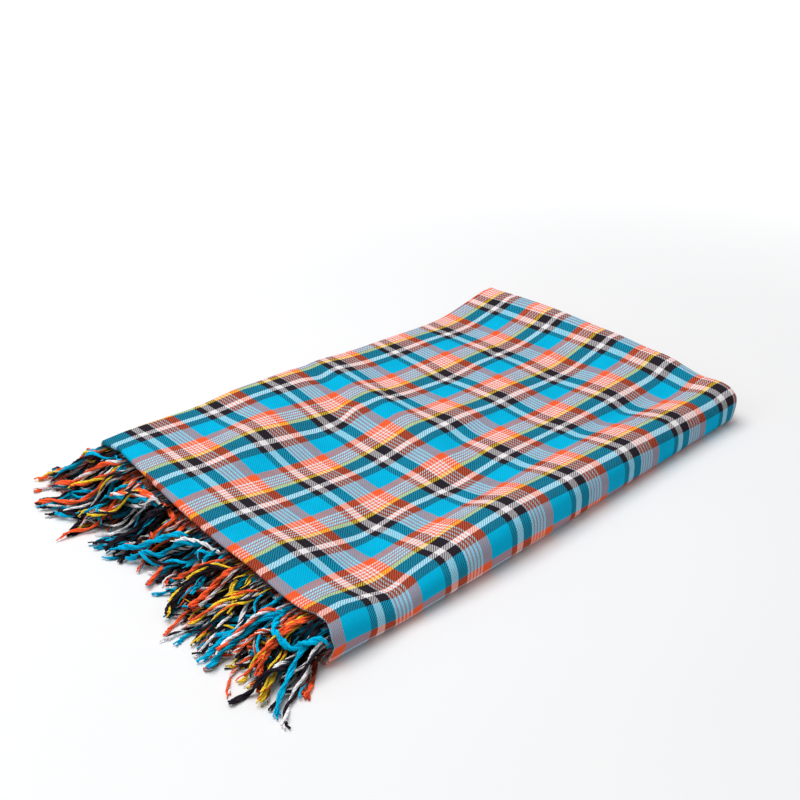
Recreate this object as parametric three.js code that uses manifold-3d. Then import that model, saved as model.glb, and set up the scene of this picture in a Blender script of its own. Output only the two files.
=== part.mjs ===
// A checked cotton cloth, folded in half twice along its length and twice across its width, with a
// twisted fringe at each of its two cut ends. Sixteen layers lie on each other, and the last fold
// wraps the whole stack on the near side.
// Millimetres. +X runs along the folded length, away from the fringe, +Y to the far side, +Z up.
// The origin is on the surface under the middle of the folded cloth.
import * as THREE from "three";
import { mergeVertices } from "three/addons/utils/BufferGeometryUtils.js";
import Module from "manifold-3d";

// Cloth
const FOLDED_LENGTH = 481;
const FOLDED_WIDTH = 316;
const CLOTH_THICKNESS = 1.3;
const LAYER_GAP = 0.4;
const RUNS = 4; // layers that two folds in half make of one

// The raw ends of the length and the raw sides of the width lie back from the folds beside them.
const END_SETBACK = 8;
const SIDE_SETBACK = 5;

// Fringe
const STRIP_WIDTH = 5;
const PIECE_GAP = 0.35;
const STRAND_WIDTH = 2.9;
const STRAND_HEIGHT = 2.4;
const LANE_WIDTH = 3.6;
const FOLD_CLEARANCE = 4; // how far a strand keeps its flat root before it thickens
const ROOT_DEPTH = 1.2; // how far a strand's root is sunk in its strip
const ROOT_WIDTH_SHARE = 0.84; // of the strand's width
const ROOT_HEIGHT_SHARE = 0.68; // of the cloth's thickness
const LANDING = 9; // how far out a strand comes down off the one that it lies on
const LANDING_CLEARANCE = 3;
const TIP_TAPER = 0.6;
const BEND_REACH = 0.95; // how far round the near bend strands are rooted, as a share of its radius
const LANES = 81;
const FIRST_LANE = -3; // the lanes below 0 are on the near bend

// How far strands reach past the cloth. In most lanes the lower one is short and the upper one comes
// down past it, and in the others the upper one ends on the lower.
const SHORT_BELOW_SHARE = 0.62;
const SHORT_BELOW = { lower: [36, 44], upper: [61, 85] };
const LONG_BELOW = { lower: [53, 75], upper: [43, 51] };

// A strand's height over the surface at some distance out from the cloth, as a share of the height
// that it leaves the cloth at, and what it keeps above that.
const DROOP = {
  lower: [
    { out: 12, share: 0.42, above: 0 },
    { out: 21, share: 0, above: 0 },
  ],
  upper: [
    { out: 13, share: 0.6, above: 0.6 },
    { out: 27, share: 0, above: STRAND_HEIGHT + PIECE_GAP },
  ],
};

// Sideways drift of the strands, as shares of their distance out: a fan that opens towards the near
// corner, and waves with their lengths across the cloth and out from it.
const FAN = { share: 0.4, power: 2.4 };
const WAVE = { share: 0.028, across: 34, out: 23 };

// The raw ends that neighbouring lanes take their strands from, in turn.
const RAW_TURNS = [
  { layer: 3, quires: { upper: 2, lower: 1 } },
  { layer: 2, quires: { upper: 3, lower: 0 } },
  { layer: 3, quires: { upper: 3, lower: 0 } },
  { layer: 2, quires: { upper: 2, lower: 1 } },
];

// How finely the folds are stepped. The stack keeps one height in the zones at its two ends.
const LEFT_END_ZONE = 18;
const RIGHT_END_ZONE = 12;
const LENGTH_STEPS = 7;
const WIDTH_STEPS = 6;
const LAYER_BEND_STEPS = 4;
const STACK_BEND_STEPS = 7;

const LAYER_PITCH = CLOTH_THICKNESS + LAYER_GAP;
const QUIRE_DEPTH = RUNS * LAYER_PITCH - LAYER_GAP; // four layers, folded end to end
const QUIRE_PITCH = QUIRE_DEPTH + LAYER_GAP;
const STACK_HEIGHT = RUNS * QUIRE_PITCH - LAYER_GAP;
const HALF_LENGTH = FOLDED_LENGTH / 2;
const HALF_WIDTH = FOLDED_WIDTH / 2;

// Where the stack stands higher or lower than its even height: a place, how far the swell reaches
// each way, and its rise.
const SWELLS = [
  { name: "far left corner", x: -245, y: 150, reachX: 120, reachY: 95, rise: 11.5 },
  { name: "left hollow", x: -120, y: -45, reachX: 85, reachY: 80, rise: -8 },
  { name: "far hollow", x: 60, y: 75, reachX: 110, reachY: 95, rise: -7.5 },
  { name: "near roll", x: 40, y: -158, reachX: 190, reachY: 42, rise: 5 },
  { name: "right end", x: 245, y: -20, reachX: 60, reachY: 130, rise: 5.5 },
  { name: "near left corner", x: -245, y: -158, reachX: 70, reachY: 60, rise: -5.5 },
];

// The outline of the folded cloth as it lies: its ends and sides are neither quite straight nor
// quite square.
const LEFT_END = { middle: -238.5, slant: 0.02, bow: 0.00055 };
const RIGHT_END = { middle: 243, slant: 0.045 };
const NEAR_SIDE = { left: -160, drawnIn: 14, from: -140, to: 260 };
const FAR_SIDE = { middle: 157, slant: 0.045 };

// How far the ends of each quire, from the lowest up, reach past the even outline.
const QUIRE_ENDS = [
  { left: 0.5, right: 1 },
  { left: 1.5, right: -2.5 },
  { left: -1.5, right: 1.2 },
  { left: -1, right: 2 },
];

// Both ways of folding give four runs of one strip. In the order of the strip they lie on these
// levels, lowest 0, and head this way: down to the low side first, where the two nested bends are.
const FOLD_ORDER = [
  { level: 0, heading: -1 },
  { level: 3, heading: 1 },
  { level: 2, heading: -1 },
  { level: 1, heading: 1 },
];

const clamp = THREE.MathUtils.clamp;
const lerp = THREE.MathUtils.lerp;
const smoothstep = THREE.MathUtils.smoothstep;

// A number from 0 to 1 that looks random and is the same in each build.
function scatter(index, salt) {
  const wave = Math.sin(index * 12.9898 + salt * 78.233) * 43758.5453;
  return wave - Math.floor(wave);
}

// A strip of the given depth folded in half twice. Returns its stations in order, each with its
// place on the middle of the strip, its heading, its level among the runs and its zone: inside the
// common marks, or past them on the low or high side.
function twiceFolded({ lowBend, highBend, rawEnd, marks, depth, pitch, bendSteps }) {
  const middleOf = (level) => level * pitch + depth / 2;
  const stations = [];
  const add = (along, height, turn, level, zone) =>
    stations.push({
      along,
      height,
      headAlong: Math.cos(turn),
      headHeight: Math.sin(turn),
      level,
      zone,
    });
  FOLD_ORDER.forEach(({ level, heading }, run) => {
    const turn = heading < 0 ? Math.PI : 0;
    const startsRaw = run === 0;
    const endsRaw = run === FOLD_ORDER.length - 1;
    const inner = heading < 0 ? [...marks].reverse() : marks;
    const highEnd = startsRaw || endsRaw ? rawEnd : highBend;
    const first = heading < 0 ? highEnd : lowBend;
    const last = heading < 0 ? lowBend : highEnd;
    add(first, middleOf(level), turn, level, -heading);
    inner.forEach((mark) => add(mark, middleOf(level), turn, level, 0));
    add(last, middleOf(level), turn, level, heading);
    if (endsRaw) return;
    const next = FOLD_ORDER[run + 1].level;
    const radius = Math.abs(middleOf(next) - middleOf(level)) / 2;
    const centre = (middleOf(next) + middleOf(level)) / 2;
    const rising = Math.sign(next - level);
    for (let step = 1; step < bendSteps; step += 1) {
      const angle = (Math.PI * step) / bendSteps;
      const along = last + heading * radius * Math.sin(angle);
      const height = centre - rising * radius * Math.cos(angle);
      const share = step / bendSteps;
      add(along, height, turn + heading * rising * angle, lerp(level, next, share), heading);
    }
  });
  return stations;
}

// The right-hand side of a station's heading is the inside of the folded strip.
function inward(station, distance) {
  return {
    along: station.along + station.headHeight * distance,
    height: station.height - station.headAlong * distance,
  };
}

// Evenly spaced marks from one place to another, both included.
function evenMarks(from, to, steps) {
  return Array.from({ length: steps + 1 }, (_, i) => lerp(from, to, i / steps));
}

const LENGTH_MARKS = evenMarks(
  -HALF_LENGTH + LEFT_END_ZONE,
  HALF_LENGTH - RIGHT_END_ZONE,
  LENGTH_STEPS,
);
const WIDTH_MARKS = evenMarks(
  -HALF_WIDTH + STACK_HEIGHT / 2,
  HALF_WIDTH - 2 * QUIRE_PITCH,
  WIDTH_STEPS,
);

// The even height of the stack with its swells, held level past the outermost marks.
function stackHeightAt(x, y) {
  const atX = clamp(x, LENGTH_MARKS[0], LENGTH_MARKS.at(-1));
  const atY = clamp(y, WIDTH_MARKS[0], WIDTH_MARKS.at(-1));
  return SWELLS.reduce((height, swell) => {
    const farX = (atX - swell.x) / swell.reachX;
    const farY = (atY - swell.y) / swell.reachY;
    return height + swell.rise * Math.exp(-farX * farX - farY * farY);
  }, STACK_HEIGHT);
}

const leftEndAt = (y) =>
  LEFT_END.middle + LEFT_END.slant * y + LEFT_END.bow * Math.max(y, 0) ** 2;
const rightEndAt = (y) => RIGHT_END.middle + RIGHT_END.slant * y;
const nearSideAt = (x) =>
  NEAR_SIDE.left + NEAR_SIDE.drawnIn * smoothstep(x, NEAR_SIDE.from, NEAR_SIDE.to);
const farSideAt = (x) => FAR_SIDE.middle + FAR_SIDE.slant * x;

// Moves a point of the even, square-cornered stack to where the cloth really lies.
function settled(x, y, z) {
  const alongShare = (x + HALF_LENGTH) / FOLDED_LENGTH;
  const acrossShare = (y + HALF_WIDTH) / FOLDED_WIDTH;
  return new THREE.Vector3(
    lerp(leftEndAt(y), rightEndAt(y), alongShare),
    lerp(nearSideAt(x), farSideAt(x), acrossShare),
    (z * stackHeightAt(x, y)) / STACK_HEIGHT,
  );
}

// How far the stack's route across the width shifts the ends of its quires.
function endShift(level, side) {
  const lower = Math.floor(level);
  const upper = Math.min(lower + 1, RUNS - 1);
  return lerp(QUIRE_ENDS[lower][side], QUIRE_ENDS[upper][side], level - lower);
}

// The layers of one quire, along the length. Their low side, with the nested bends, is the right
// end, so the strip is laid out with its length reversed.
const layerRoute = twiceFolded({
  lowBend: -HALF_LENGTH + QUIRE_DEPTH / 2,
  highBend: HALF_LENGTH - LAYER_PITCH + LAYER_GAP / 2,
  rawEnd: HALF_LENGTH - END_SETBACK,
  marks: LENGTH_MARKS.map((mark) => -mark).reverse(),
  depth: CLOTH_THICKNESS,
  pitch: LAYER_PITCH,
  bendSteps: LAYER_BEND_STEPS,
});

// The quires of the stack, across the width.
const quireRoute = twiceFolded({
  lowBend: -HALF_WIDTH + STACK_HEIGHT / 2,
  highBend: HALF_WIDTH - QUIRE_PITCH + LAYER_GAP / 2,
  rawEnd: HALF_WIDTH - SIDE_SETBACK,
  marks: WIDTH_MARKS.slice(1),
  depth: QUIRE_DEPTH,
  pitch: QUIRE_PITCH,
  bendSteps: STACK_BEND_STEPS,
});

// A section of one quire: places along the length, and depths from the quire's outer face.
function quireSection() {
  const face = (side) =>
    layerRoute.map((station) => {
      const { along, height } = inward(station, side * (CLOTH_THICKNESS / 2));
      return { x: -along, depth: QUIRE_DEPTH - height, zone: -station.zone };
    });
  return [...face(1), ...face(-1).reverse()];
}

// The place of a section's point at one station of the quires' route.
function onRoute(point, station) {
  const { along, height } = inward(station, point.depth - QUIRE_DEPTH / 2);
  const side = point.zone < 0 ? "left" : "right";
  const shift = point.zone === 0 ? 0 : endShift(station.level, side);
  return settled(point.x + shift, along, height);
}

// A closed body swept from a section through stations, with flat caps at both ends.
function sweptBody(rings, capShape) {
  const sides = rings[0].length;
  const positions = rings.flat().flatMap((point) => point.toArray());
  const indices = [];
  for (let ring = 0; ring + 1 < rings.length; ring += 1) {
    for (let side = 0; side < sides; side += 1) {
      const a = ring * sides + side;
      const b = ring * sides + ((side + 1) % sides);
      indices.push(a, b, b + sides, a, b + sides, a + sides);
    }
  }
  const lastRing = (rings.length - 1) * sides;
  const outline = capShape.map(([x, y]) => new THREE.Vector2(x, y));
  const clockwise = THREE.ShapeUtils.isClockWise(outline);
  THREE.ShapeUtils.triangulateShape(outline, []).forEach(([a, b, c]) => {
    const [first, last] = clockwise ? [a, c] : [c, a];
    indices.push(first, b, last);
    indices.push(lastRing + last, lastRing + b, lastRing + first);
  });
  const geometry = new THREE.BufferGeometry();
  geometry.setAttribute("position", new THREE.Float32BufferAttribute(positions, 3));
  geometry.setIndex(indices);
  return geometry;
}

function clothGeometry() {
  const section = quireSection();
  const rings = quireRoute.map((station) => section.map((point) => onRoute(point, station)));
  return sweptBody(rings, section.map((point) => [point.x, point.depth]));
}

// Fringe. The raw ends of the cloth are the third and fourth layers of every quire.
const FIRST_END_LAYER = 3;
const SECOND_END_LAYER = 2;
const STRIP_RIGHT = -HALF_LENGTH + END_SETBACK - PIECE_GAP;
const STRIP_LEFT = STRIP_RIGHT - STRIP_WIDTH;

function stripGeometry(layer) {
  const outer = layer * LAYER_PITCH;
  const corners = [
    { x: STRIP_RIGHT, depth: outer, zone: -1 },
    { x: STRIP_RIGHT, depth: outer + CLOTH_THICKNESS, zone: -1 },
    { x: STRIP_LEFT, depth: outer + CLOTH_THICKNESS, zone: -1 },
    { x: STRIP_LEFT, depth: outer, zone: -1 },
  ];
  const rings = quireRoute.map((station) => corners.map((corner) => onRoute(corner, station)));
  return sweptBody(rings, corners.map((corner) => [corner.x, corner.depth]));
}

// Where a layer's raw end passes at this place across the width, on the upper or lower half of the
// stack: its middle, how far its width leans there, and its level among the quires. Past the
// straight runs it is on the near bend. Returns null where the layer doesn't reach.
function rawEndAt(across, layer, quire) {
  const run = FOLD_ORDER.find(({ level }) => level === quire);
  const aside = (layer * LAYER_PITCH + CLOTH_THICKNESS / 2 - QUIRE_DEPTH / 2) * -run.heading;
  const height = quire * QUIRE_PITCH + QUIRE_DEPTH / 2 + aside;
  const beyond = WIDTH_MARKS[0] - across;
  if (beyond <= 0) return { height, lean: 0, level: quire };
  const radius = Math.abs(height - STACK_HEIGHT / 2);
  if (beyond > radius * BEND_REACH) return null;
  const angle = Math.asin(beyond / radius);
  const side = Math.sign(height - STACK_HEIGHT / 2);
  return {
    height: STACK_HEIGHT / 2 + side * radius * Math.cos(angle),
    lean: -side * angle,
    level: lerp(quire, RUNS - 1 - quire, angle / Math.PI),
  };
}

// How far strands drift sideways: they fan out towards the near corner and share gentle waves.
function drift(out, across) {
  const fromFar = 0.5 - across / FOLDED_WIDTH;
  const fan = FAN.share * fromFar ** FAN.power;
  const wave = WAVE.share * Math.sin(across / WAVE.across + out / WAVE.out);
  return out * (wave - fan);
}

// One ring of a strand's three-cornered section: a level base and a top.
function strandRing(out, across, base, width, height) {
  const place = (sideways, up) => {
    const edge = settled(-HALF_LENGTH, across, 0);
    return new THREE.Vector3(edge.x - out, edge.y + drift(out, across) + sideways, base + up);
  };
  return [place(width / 2, 0), place(-width / 2, 0), place(0, height)];
}

// A ring of a strand's flat root, inside its layer's thickness and turned the way the layer runs.
function rootRing(root, across, x) {
  const halfWidth = (STRAND_WIDTH * ROOT_WIDTH_SHARE) / 2;
  const halfHeight = (CLOTH_THICKNESS * ROOT_HEIGHT_SHARE) / 2;
  const corners = [
    [halfWidth, -halfHeight],
    [-halfWidth, -halfHeight],
    [0, halfHeight],
  ];
  return corners.map(([sideways, up]) => {
    const y = across + sideways * Math.cos(root.lean) + up * Math.sin(root.lean);
    const z = root.height - sideways * Math.sin(root.lean) + up * Math.cos(root.lean);
    return settled(x, y, z);
  });
}

// A strand from its root out to its tip. It leaves the stack flat, thickens, droops and lies level.
function strandGeometry({ root, across, half, reach, lowerReach }) {
  const lowest = root.height - (CLOTH_THICKNESS * ROOT_HEIGHT_SHARE) / 2;
  const leaving = settled(-HALF_LENGTH, across, lowest).z;
  const full = [STRAND_WIDTH, STRAND_HEIGHT];
  const tip = full.map((size) => size * TIP_TAPER);
  const rings = [
    rootRing(root, across, STRIP_LEFT + ROOT_DEPTH + endShift(root.level, "left")),
    rootRing(root, across, -HALF_LENGTH - FOLD_CLEARANCE),
    ...DROOP[half].map(({ out, share, above }) =>
      strandRing(out, across, leaving * share + above, ...full),
    ),
  ];
  const landing = lowerReach + LANDING_CLEARANCE;
  if (half === "lower") {
    rings.push(strandRing(reach, across, 0, ...tip));
  } else if (reach < lowerReach) {
    rings.push(strandRing(reach, across, STRAND_HEIGHT + PIECE_GAP, ...tip));
  } else {
    rings.push(strandRing(landing, across, STRAND_HEIGHT + PIECE_GAP, ...full));
    rings.push(strandRing(landing + LANDING, across, 0, ...full));
    rings.push(strandRing(reach, across, 0, ...tip));
  }
  return sweptBody(rings, [
    [1, 0],
    [0, 0],
    [0.5, 1],
  ]);
}

const wasm = await Module();
wasm.setup();

function solidOf(geometry) {
  const merged = mergeVertices(geometry);
  return new wasm.Manifold(
    new wasm.Mesh({
      numProp: 3,
      vertProperties: merged.getAttribute("position").array,
      triVerts: new Uint32Array(merged.index.array),
    }),
  );
}

function geometryOf(solid) {
  const { vertProperties, triVerts } = solid.getMesh();
  const geometry = new THREE.BufferGeometry();
  geometry.setAttribute("position", new THREE.BufferAttribute(vertProperties, 3));
  geometry.setIndex(new THREE.BufferAttribute(triVerts, 1));
  geometry.computeVertexNormals();
  return geometry;
}

// Every lane across the width holds one strand from the upper half of the stack and one from the
// lower half, so that no two strands meet. In each half the four raw ends take turns.
function laneStrands() {
  const strands = [];
  for (let lane = FIRST_LANE; lane < LANES; lane += 1) {
    const across = WIDTH_MARKS[0] + (lane + 0.5) * LANE_WIDTH;
    const kind = scatter(lane, 1) < SHORT_BELOW_SHARE ? SHORT_BELOW : LONG_BELOW;
    const lowerReach = lerp(...kind.lower, scatter(lane, 2));
    const upperReach = lerp(...kind.upper, scatter(lane, 3));
    const { layer, quires } = RAW_TURNS[(lane - FIRST_LANE) % RAW_TURNS.length];
    const addStrand = (half, reach) => {
      const root = rawEndAt(across, layer, quires[half]);
      if (!root) return;
      strands.push({ layer, geometry: strandGeometry({ root, across, half, reach, lowerReach }) });
    };
    addStrand("upper", upperReach);
    addStrand("lower", lowerReach);
  }
  return strands;
}

function fringeGeometry(layer, strands) {
  const own = strands.filter((strand) => strand.layer === layer);
  const strip = solidOf(stripGeometry(layer));
  const joined = own.reduce((whole, { geometry }) => whole.add(solidOf(geometry)), strip);
  return geometryOf(joined);
}

function piece(name, geometry, colour, roughness) {
  const material = new THREE.MeshStandardMaterial({ color: colour, roughness, metalness: 0 });
  const mesh = new THREE.Mesh(geometry, material);
  mesh.name = name;
  return mesh;
}

const strands = laneStrands();
const kikoy = new THREE.Group();
kikoy.add(
  piece("cloth", clothGeometry(), "#1692b4", 0.9),
  piece("fringe_first_end", fringeGeometry(FIRST_END_LAYER, strands), "#e8502c", 0.95),
  piece("fringe_second_end", fringeGeometry(SECOND_END_LAYER, strands), "#0f8fb4", 0.95),
);

export default kikoy;
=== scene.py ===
"""A checked cotton cloth, folded flat into a low stack, with a twisted fringe at one end.

The cloth is one thin sheet that follows the folds of the CAD solid: four layers folded end to end
make a quire, and the quire is folded in four across its width. The fringe leaves the two raw ends
of the cloth in all four quires and lies in a heap beside the folded ends.
Sizes are in millimetres and become metres when a mesh is made.
"""

import logging
import math
from collections.abc import Sequence
from dataclasses import dataclass, field
from enum import Enum

import bpy
import numpy as np
from mathutils import Matrix, Vector

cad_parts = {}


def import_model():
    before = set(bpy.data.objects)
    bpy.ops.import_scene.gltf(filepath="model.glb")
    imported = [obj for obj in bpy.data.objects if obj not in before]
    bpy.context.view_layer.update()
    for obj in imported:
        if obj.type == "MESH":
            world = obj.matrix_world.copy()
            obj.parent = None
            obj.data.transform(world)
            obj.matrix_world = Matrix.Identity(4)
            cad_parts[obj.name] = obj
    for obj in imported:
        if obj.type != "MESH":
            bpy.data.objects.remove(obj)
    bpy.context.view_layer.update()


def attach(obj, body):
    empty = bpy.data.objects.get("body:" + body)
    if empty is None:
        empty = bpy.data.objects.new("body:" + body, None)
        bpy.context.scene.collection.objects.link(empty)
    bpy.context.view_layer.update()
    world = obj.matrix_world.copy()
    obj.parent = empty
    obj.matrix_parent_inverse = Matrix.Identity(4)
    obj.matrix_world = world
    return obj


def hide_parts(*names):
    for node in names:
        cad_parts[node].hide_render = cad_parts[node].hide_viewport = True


log = logging.getLogger("kikoy")

METRES = 0.001

# The fold, as in the CAD part.
FOLDED_LENGTH = 481.0
FOLDED_WIDTH = 316.0
CLOTH_THICKNESS = 1.3
LAYER_GAP = 0.4
RUNS = 4
END_SETBACK = 8.0
SIDE_SETBACK = 5.0
LEFT_END_ZONE = 18.0
RIGHT_END_ZONE = 12.0
LAYER_PITCH = CLOTH_THICKNESS + LAYER_GAP
QUIRE_DEPTH = RUNS * LAYER_PITCH - LAYER_GAP
QUIRE_PITCH = QUIRE_DEPTH + LAYER_GAP
STACK_HEIGHT = RUNS * QUIRE_PITCH - LAYER_GAP
HALF_LENGTH = FOLDED_LENGTH / 2
HALF_WIDTH = FOLDED_WIDTH / 2
TOP_RUN = RUNS - 1
SWELL_X = (-HALF_LENGTH + LEFT_END_ZONE, HALF_LENGTH - RIGHT_END_ZONE)
SWELL_Y = (-HALF_WIDTH + STACK_HEIGHT / 2, HALF_WIDTH - 2 * QUIRE_PITCH)
QUIRE_LEFT = (0.5, 1.5, -1.5, -1.0)
QUIRE_RIGHT = (1.0, -2.5, 1.2, 2.0)
FOLD_ORDER = ((0, -1), (3, 1), (2, -1), (1, 1))
# The wall of the near fold: how square it is above and below, and how far it stands out.
WALL_TOP_POWER = 2.2
WALL_FOOT_POWER = 4.0
WALL_OUT = 3.5
# How far the lowest layers stand out at the near left corner.
FOOT_FLARE = 12.0

# The outline seen from above: each side's place, its skew or turn, the left end's bow, and how
# far the left end stands out at its far and near corners.
LEFT_EDGE = -238.5
LEFT_SKEW = 0.02
LEFT_BOW = 0.00055
FAR_EAR = 7.0
NEAR_EAR = 5.5
RIGHT_SIDE = 243.0
RIGHT_SKEW = 0.045
NEAR_SIDE = -160.0
NEAR_TURN = 14.0
FAR_SIDE = 157.0
FAR_SKEW = 0.045

# The check: the size of its repeat each way, and where one of its white crossings lies.
REPEAT_LENGTHWISE = 67.8
REPEAT_CROSSWISE = 70.0
CROSSING_X = -200.0
CROSSING_Y = 128.0
# How much more cloth lies in the bumps at the right end, and where they start and end.
RIGHT_STRETCH = 3.5
BUMPS_START = 165.0
BUMPS_WIDTH = 70.0
# Margins in which the weave keeps its even pitch round the folds.
END_MARGIN = 6.0
NEAR_MARGIN = 14.0
FAR_MARGIN = 8.0
THREAD_PITCH = 0.57
# Yarns are mixed in a scale between the light's and the screen's, and not all the way. The
# lengthwise yarn shows a little more than the crosswise one.
SCREEN_GAMMA = 2.2
MIXING_GAMMA = 1.55
CROSSWISE_SHARE = 0.47
RIB_CONTRAST = 0.28


class Yarn(Enum):
    """Colours of the yarns, as they are seen in an even light."""

    CYAN = "#00B6E2"
    RED = "#FF653A"
    YELLOW = "#FFD53C"
    BLACK = "#2E2930"
    WHITE = "#F0ECEE"

    @property
    def shares(self) -> tuple[float, float, float, float]:
        """Gives the colour in the scale that yarns are mixed in.

        Returns:
            Red, green, blue and alpha.
        """
        shown = [int(self.value[i : i + 2], 16) / 255 for i in (1, 3, 5)]
        red, green, blue = (share ** (SCREEN_GAMMA / MIXING_GAMMA) for share in shown)
        return (red, green, blue, 1.0)


@dataclass(frozen=True)
class Stripe:
    """One stripe of the check.

    Attributes:
        yarn: Its colour.
        share: Its width as a share of the repeat.
    """

    yarn: Yarn
    share: float


def thin_lines(lines: int, group: float) -> list[Stripe]:
    """Gives a group of thin white lines on red.

    Args:
        lines: Number of white lines.
        group: Width of the whole group as a share of the repeat.

    Returns:
        The stripes.
    """
    each = group / lines
    return [Stripe(Yarn.WHITE, each * 0.52), Stripe(Yarn.RED, each * 0.48)] * lines


# The stripes that run along the length, from a white one towards the near side.
LENGTHWISE = (
    Stripe(Yarn.WHITE, 0.0425),
    Stripe(Yarn.BLACK, 0.11),
    Stripe(Yarn.CYAN, 0.285),
    Stripe(Yarn.RED, 0.105),
    *thin_lines(4, 0.19),
    Stripe(Yarn.YELLOW, 0.055),
    Stripe(Yarn.BLACK, 0.17),
    Stripe(Yarn.WHITE, 0.0425),
)
# The stripes that run across the width, from a white one towards the right.
CROSSWISE = (
    Stripe(Yarn.WHITE, 0.0475),
    Stripe(Yarn.BLACK, 0.138),
    *thin_lines(5, 0.254),
    Stripe(Yarn.RED, 0.108),
    Stripe(Yarn.CYAN, 0.316),
    Stripe(Yarn.BLACK, 0.089),
    Stripe(Yarn.WHITE, 0.0475),
)

# Where each yarn lies in a repeat of the lengthwise stripes.
YARN_PLACES = {
    Yarn.WHITE: 128.0,
    Yarn.CYAN: 108.0,
    Yarn.RED: 95.0,
    Yarn.YELLOW: 76.5,
    Yarn.BLACK: 69.0,
}


def smooth(value: np.ndarray | float) -> np.ndarray:
    """Eases a share between 0 and 1.

    Args:
        value: Share, which may lie outside 0 to 1.

    Returns:
        The eased share, held between 0 and 1.
    """
    held = np.clip(value, 0.0, 1.0)
    return held * held * (3.0 - 2.0 * held)


@dataclass(frozen=True)
class Swell:
    """A soft rise or hollow of the stack, or a ridge or crease where it is long and narrow.

    Attributes:
        x: Place along the length.
        y: Place across the width.
        reach_x: How far it reaches along its heading.
        reach_y: How far it reaches sideways.
        rise: Height at its middle.
        heading: Direction that it runs in, in degrees from +X.
    """

    x: float
    y: float
    reach_x: float
    reach_y: float
    rise: float
    heading: float = 0.0

    def at(self, x: np.ndarray, y: np.ndarray) -> np.ndarray:
        """Gives the swell's height.

        Args:
            x: Places along the length.
            y: Places across the width.

        Returns:
            The height at each place.
        """
        turn = math.radians(self.heading)
        along = (x - self.x) * math.cos(turn) + (y - self.y) * math.sin(turn)
        aside = (y - self.y) * math.cos(turn) - (x - self.x) * math.sin(turn)
        return self.rise * np.exp(-((along / self.reach_x) ** 2) - (aside / self.reach_y) ** 2)


# The swells that the solid has too.
SWELLS = (
    Swell(-245, 150, 120, 95, 11.5),
    Swell(-120, -45, 85, 80, -8),
    Swell(60, 75, 110, 95, -7.5),
    Swell(40, -158, 190, 42, 5),
    Swell(245, -20, 60, 130, 5.5),
    Swell(-245, -158, 70, 60, -5.5),
)
# Smaller swells and ripples that the solid leaves out.
RIPPLES = (
    Swell(-30, 140, 58, 42, 5.5),
    Swell(-230, 15, 45, 65, 4.5),
    Swell(-67, -20, 34, 40, -3.0),
    Swell(13, -75, 70, 34, -2.6),
    Swell(7, 62, 30, 24, 1.2),
    Swell(147, 138, 48, 44, -3.4),
    Swell(143, -18, 52, 50, -3.6),
    Swell(220, -100, 40, 46, -2.2),
    Swell(-133, 84, 70, 24, 6.0, heading=33),
    Swell(-97, 26, 46, 26, -5.5),
    Swell(-11, 52, 70, 20, 5.0, heading=84),
    Swell(-39, 56, 20, 12, 3.0, heading=60),
    Swell(-75, 60, 20, 16, -3.0),
    Swell(81, 60, 28, 18, -2.2),
    Swell(-7, -50, 14, 26, -2.2),
    Swell(-55, -103, 150, 12, -2.2),
    Swell(-161, -128, 34, 18, -3.5),
    Swell(249, -76, 14, 30, 5.0),
    Swell(100, -8, 22, 14, 2.0),
    Swell(175, -12, 26, 22, -2.0),
    Swell(-47, 70, 30, 15, -2.5, heading=80),
    Swell(-25, 126, 20, 14, -4.0, heading=90),
    Swell(173, 88, 38, 90, -5.0),
    Swell(247, 92, 22, 60, 8.0),
    Swell(249, -20, 20, 90, 4.0),
    Swell(87, -48, 48, 40, -5.0),
    Swell(-147, -76, 62, 20, -6.0, heading=40),
    Swell(-43, -74, 34, 24, -5.0),
    Swell(15, -34, 34, 16, -3.5),
    Swell(-65, -132, 60, 20, 5.0),
    Swell(160, -106, 52, 20, -5.5),
    Swell(-207, -58, 18, 26, 3.5),
    Swell(-227, 84, 26, 40, 3.5),
    Swell(232, 40, 16, 60, 2.5),
    Swell(232, -30, 16, 40, 2.8),
    Swell(232, -85, 16, 26, 5.0),
    Swell(28, -6, 24, 18, 2.5),
    Swell(-22, -14, 10, 14, -2.0),
    Swell(135, -100, 60, 10, -2.0),
    Swell(190, -117, 30, 10, -2.0),
    Swell(-37, 66, 14, 10, 2.5),
    Swell(-105, 152, 34, 26, 4.0),
    Swell(140, 156, 70, 22, -3.4),
    Swell(-232, -150, 30, 22, 7.0),
    Swell(236, -130, 20, 30, 4.0),
    Swell(-178, -139, 16, 16, -4.5),
    Swell(-226, -134, 14, 12, 2.5),
    Swell(218, -122, 22, 12, -2.0),
)
# Short, sharper creases.
CREASES = (
    Swell(8, 67, 22, 3.4, -1.6, heading=62),
    Swell(145, 60, 22, 3.4, -1.4, heading=20),
    Swell(-90, -85, 18, 6, -1.2, heading=35),
    Swell(-119, -122, 14, 3.6, -2.0, heading=15),
    Swell(138, -123, 20, 3.6, -1.4, heading=150),
)


def outline(x: np.ndarray, y: np.ndarray) -> tuple[np.ndarray, np.ndarray]:
    """Moves places of the square-cornered stack to the outline that the cloth really has.

    Args:
        x: Places along the length.
        y: Places across the width.

    Returns:
        The real places along the length and across the width.
    """
    bow = LEFT_BOW * np.maximum(y, 0) ** 2
    left = LEFT_EDGE + LEFT_SKEW * y + bow - FAR_EAR * smooth((y - 130) / 24)
    left = left - NEAR_EAR * smooth((-146 - y) / 20)
    right = RIGHT_SIDE + RIGHT_SKEW * y
    near = NEAR_SIDE + NEAR_TURN * smooth((x + 140) / 400)
    far = FAR_SIDE + FAR_SKEW * x
    along = (x + HALF_LENGTH) / FOLDED_LENGTH
    across = (y + HALF_WIDTH) / FOLDED_WIDTH
    return left + (right - left) * along, near + (far - near) * across


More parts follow.
